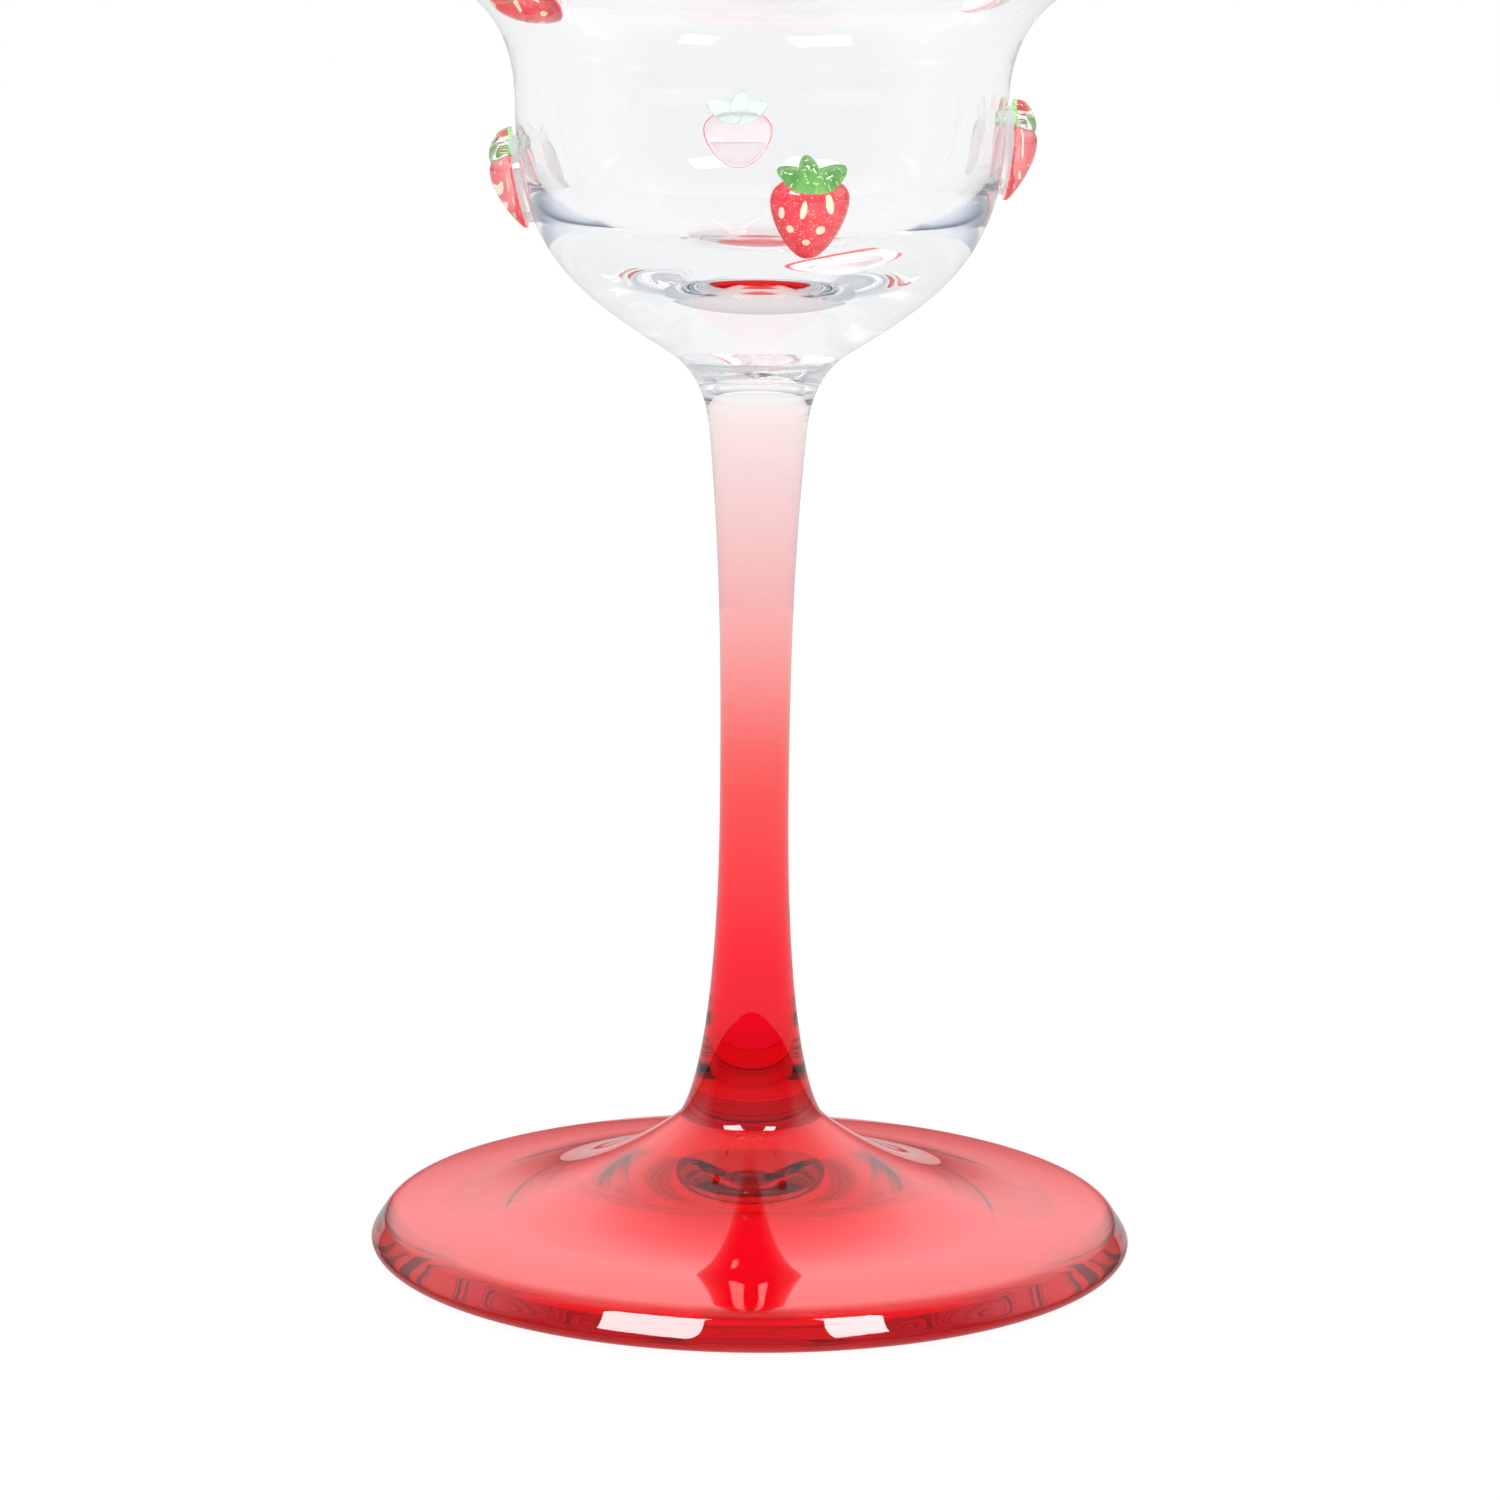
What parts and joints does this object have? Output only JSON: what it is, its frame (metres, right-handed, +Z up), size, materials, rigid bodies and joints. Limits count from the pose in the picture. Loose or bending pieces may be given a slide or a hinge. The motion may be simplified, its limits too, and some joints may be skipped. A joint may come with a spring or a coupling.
{
  "type": "margarita glass",
  "caption": "Stemmed cocktail glass with a clear two-tier bowl, a clear-to-red stem, a domed red foot and clear resin strawberry charms.",
  "frame": {"origin": "on the axis of the glass, in the plane of the ring that it stands on", "axes": "+Z up along the axis of the glass, -Y towards the pictured front, +X to its right"},
  "size_m": [0.112, 0.112, 0.172],
  "materials": {
    "clear_glass": "clear polished glass",
    "ombre_glass": "polished glass with a sprayed tint that fades from clear at the bowl to red at the foot",
    "red_glass": "polished glass with a red tint",
    "clear_resin": "clear cast resin, glossy",
    "red_enamel": "red enamel with fine glitter",
    "green_enamel": "green enamel with fine glitter",
    "cream_enamel": "cream enamel",
    "clear_adhesive": "clear set adhesive"
  },
  "bodies": {
    "root": {"bowl": "clear_glass", "stem": "ombre_glass", "foot": "red_glass", "cup_charm_1_dome": "clear_resin", "cup_charm_1_berry_layer": "red_enamel", "cup_charm_1_leaf_layer": "green_enamel", "cup_charm_1_seeds": "cream_enamel", "cup_charm_1_glue": "clear_adhesive", "cup_charm_2_dome": "clear_resin", "cup_charm_2_berry_layer": "red_enamel", "cup_charm_2_leaf_layer": "green_enamel", "cup_charm_2_seeds": "cream_enamel", "cup_charm_2_glue": "clear_adhesive", "cup_charm_3_dome": "clear_resin", "cup_charm_3_berry_layer": "red_enamel", "cup_charm_3_leaf_layer": "green_enamel", "cup_charm_3_seeds": "cream_enamel", "cup_charm_3_glue": "clear_adhesive", "cup_charm_4_dome": "clear_resin", "cup_charm_4_berry_layer": "red_enamel", "cup_charm_4_leaf_layer": "green_enamel", "cup_charm_4_seeds": "cream_enamel", "cup_charm_4_glue": "clear_adhesive", "coupe_charm_1_dome": "clear_resin", "coupe_charm_1_berry_layer": "red_enamel", "coupe_charm_1_leaf_layer": "green_enamel", "coupe_charm_1_seeds": "cream_enamel", "coupe_charm_1_glue": "clear_adhesive", "coupe_charm_2_dome": "clear_resin", "coupe_charm_2_berry_layer": "red_enamel", "coupe_charm_2_leaf_layer": "green_enamel", "coupe_charm_2_seeds": "cream_enamel", "coupe_charm_2_glue": "clear_adhesive", "coupe_charm_3_dome": "clear_resin", "coupe_charm_3_berry_layer": "red_enamel", "coupe_charm_3_leaf_layer": "green_enamel", "coupe_charm_3_seeds": "cream_enamel", "coupe_charm_3_glue": "clear_adhesive", "coupe_charm_4_dome": "clear_resin", "coupe_charm_4_berry_layer": "red_enamel", "coupe_charm_4_leaf_layer": "green_enamel", "coupe_charm_4_seeds": "cream_enamel", "coupe_charm_4_glue": "clear_adhesive"}
  },
  "joints": []
}
